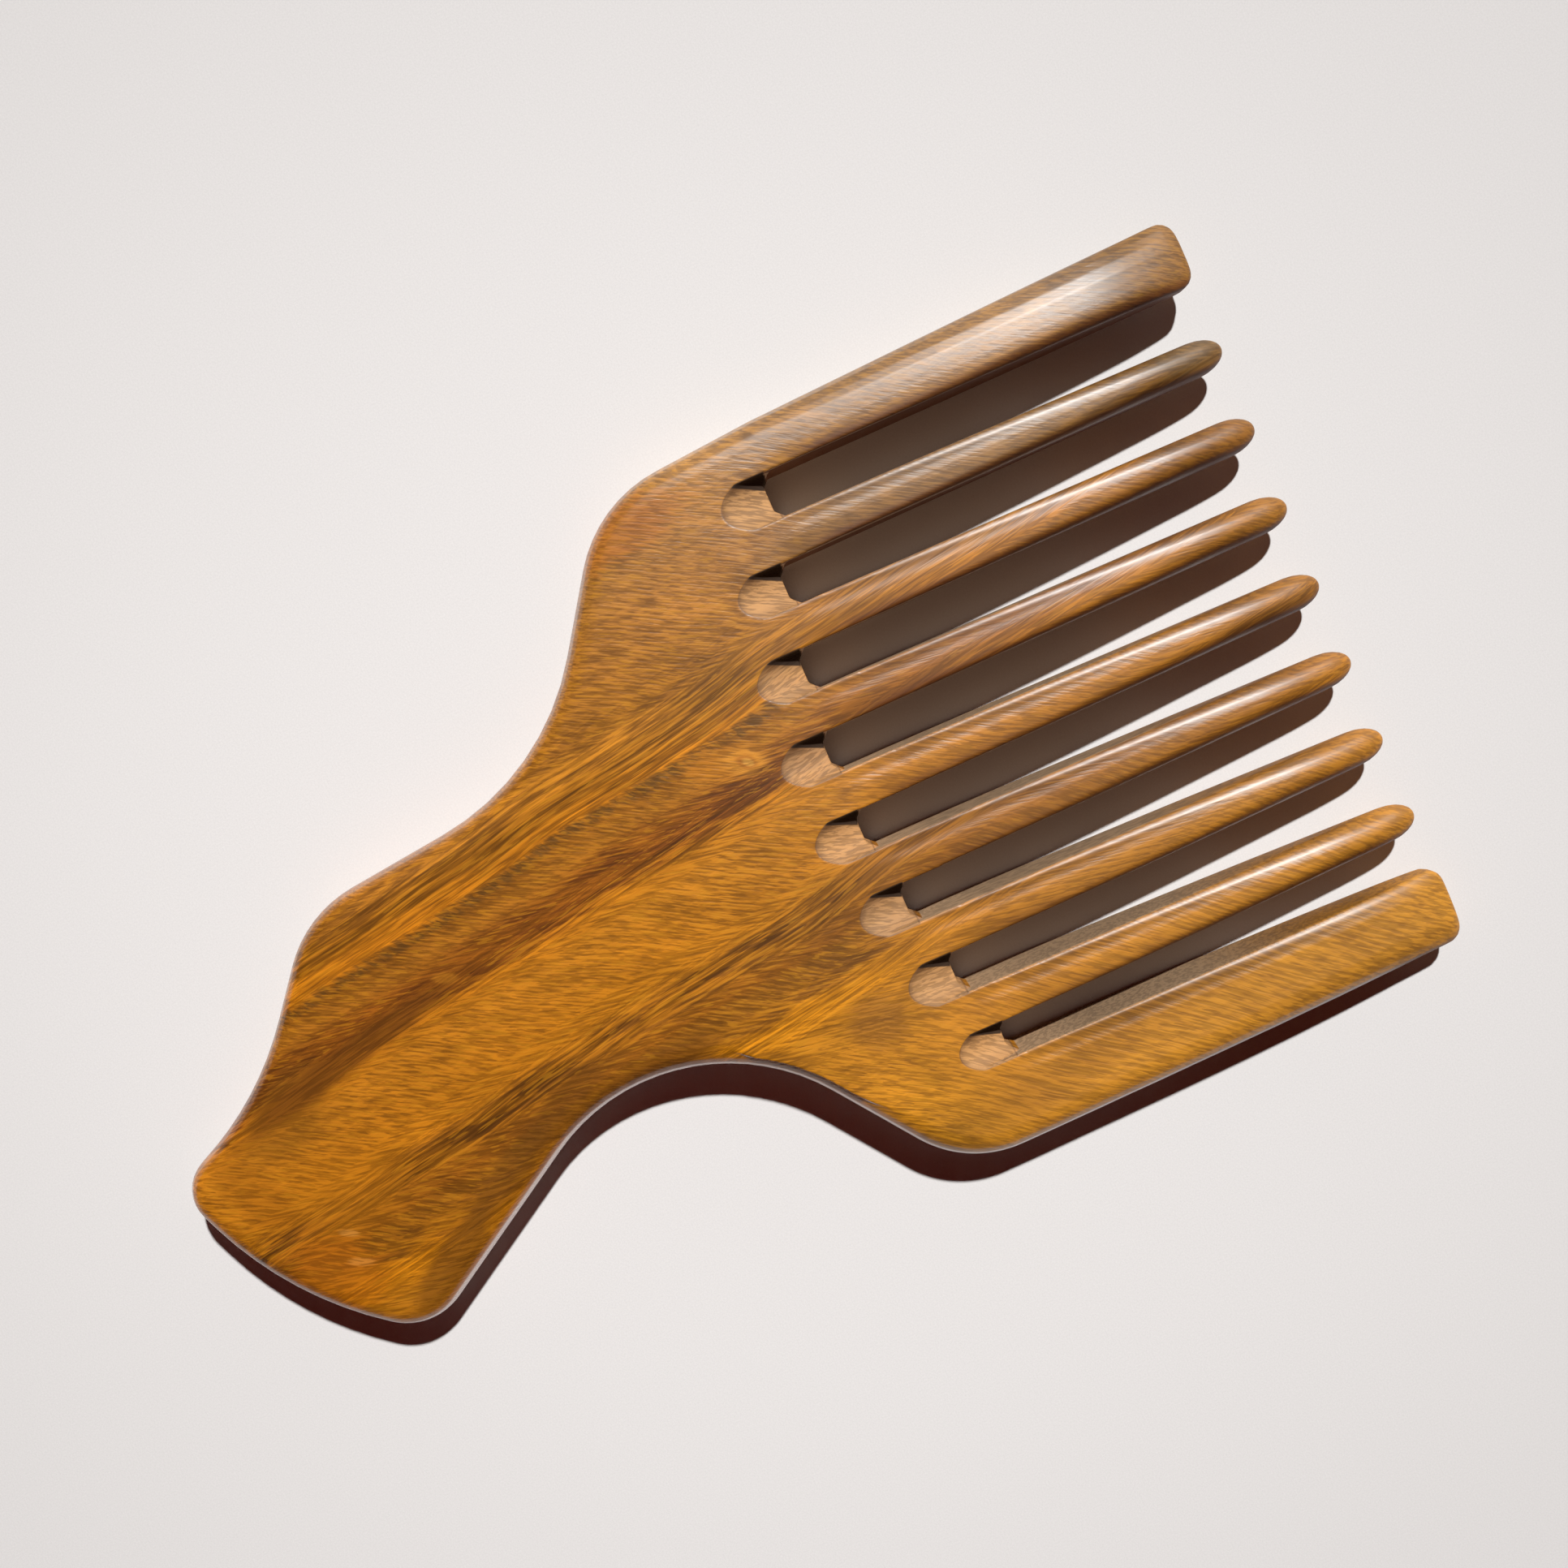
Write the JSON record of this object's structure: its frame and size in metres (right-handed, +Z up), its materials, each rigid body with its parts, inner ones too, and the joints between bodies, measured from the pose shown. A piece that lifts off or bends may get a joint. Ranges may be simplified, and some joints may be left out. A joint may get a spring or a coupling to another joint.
{
  "type": "wide-tooth hair pick",
  "caption": "One-piece hardwood hair pick: a waved flat handle widens into a head of long rounded teeth between two broad outer tines, each slot ending in a scooped root.",
  "frame": {"origin": "middle of the outline's box, on the face that the pick lies on", "axes": "+Y from the butt of the handle to the tips of the teeth, +Z up through the board; the handle leans to +X"},
  "size_m": [0.109, 0.1782, 0.01],
  "materials": {
    "wood": "golden brown hardwood with olive and dark brown streaks and interlocked grain, sanded and polished to a satin gloss"
  },
  "bodies": {
    "root": {"pick_body": "wood"}
  },
  "joints": []
}
